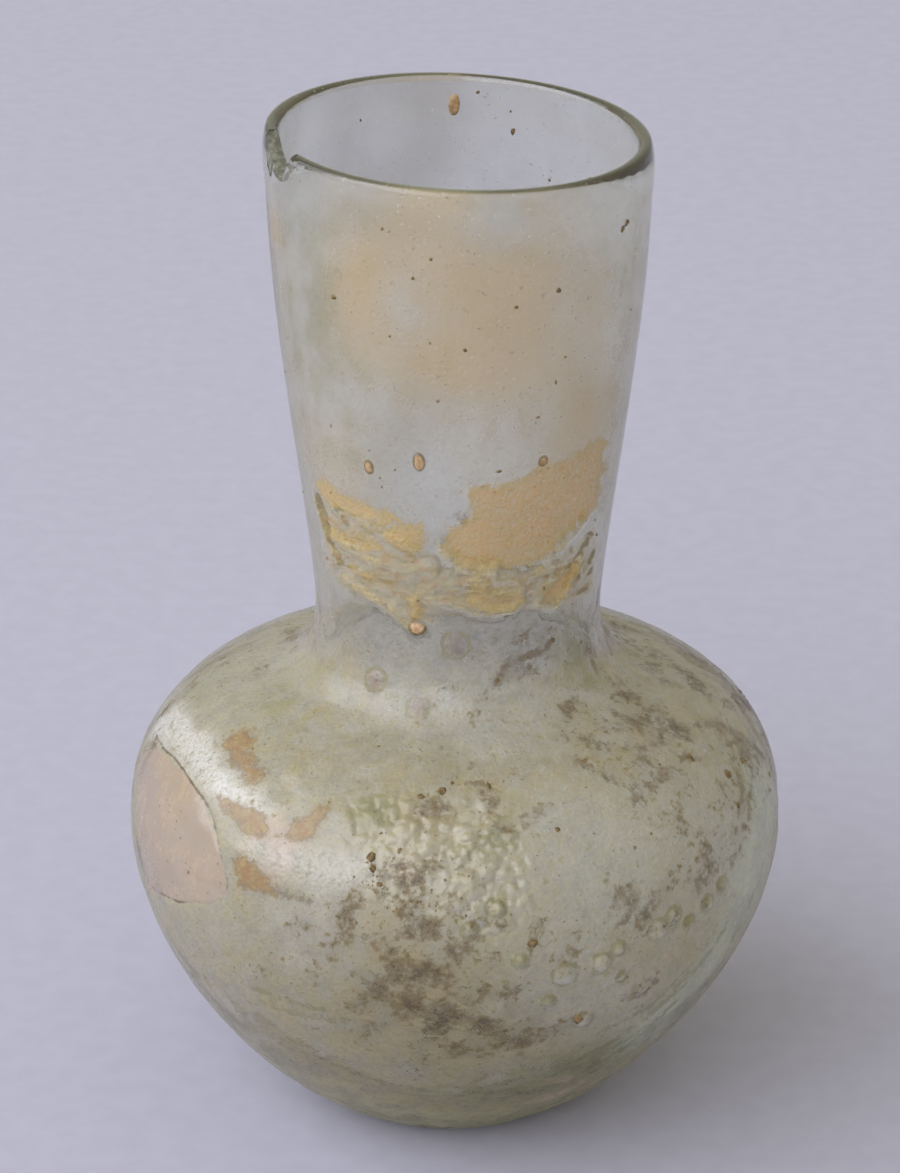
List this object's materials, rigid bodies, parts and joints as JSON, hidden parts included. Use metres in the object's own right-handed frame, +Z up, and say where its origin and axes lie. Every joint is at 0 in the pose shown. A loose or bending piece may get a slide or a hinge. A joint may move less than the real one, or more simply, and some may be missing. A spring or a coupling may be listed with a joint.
{
  "type": "glass perfume flask",
  "caption": "Small free-blown glass flask with a squat round body and a wide, flaring open neck; hollow, with a chipped lip, a pushed-in base and ancient weathering.",
  "frame": {"origin": "on the ground under the axis of the round body", "axes": "+Z up through the body and the neck; -Y is the side that the picture shows; -X is the side with the chipped lip"},
  "size_m": [0.0576, 0.0576, 0.0907],
  "materials": {
    "weathered_glass": "pale green see-through glass, dulled by a pearly weathering film with brown soil and pits"
  },
  "bodies": {
    "root": {"flask": "weathered_glass"}
  },
  "joints": []
}
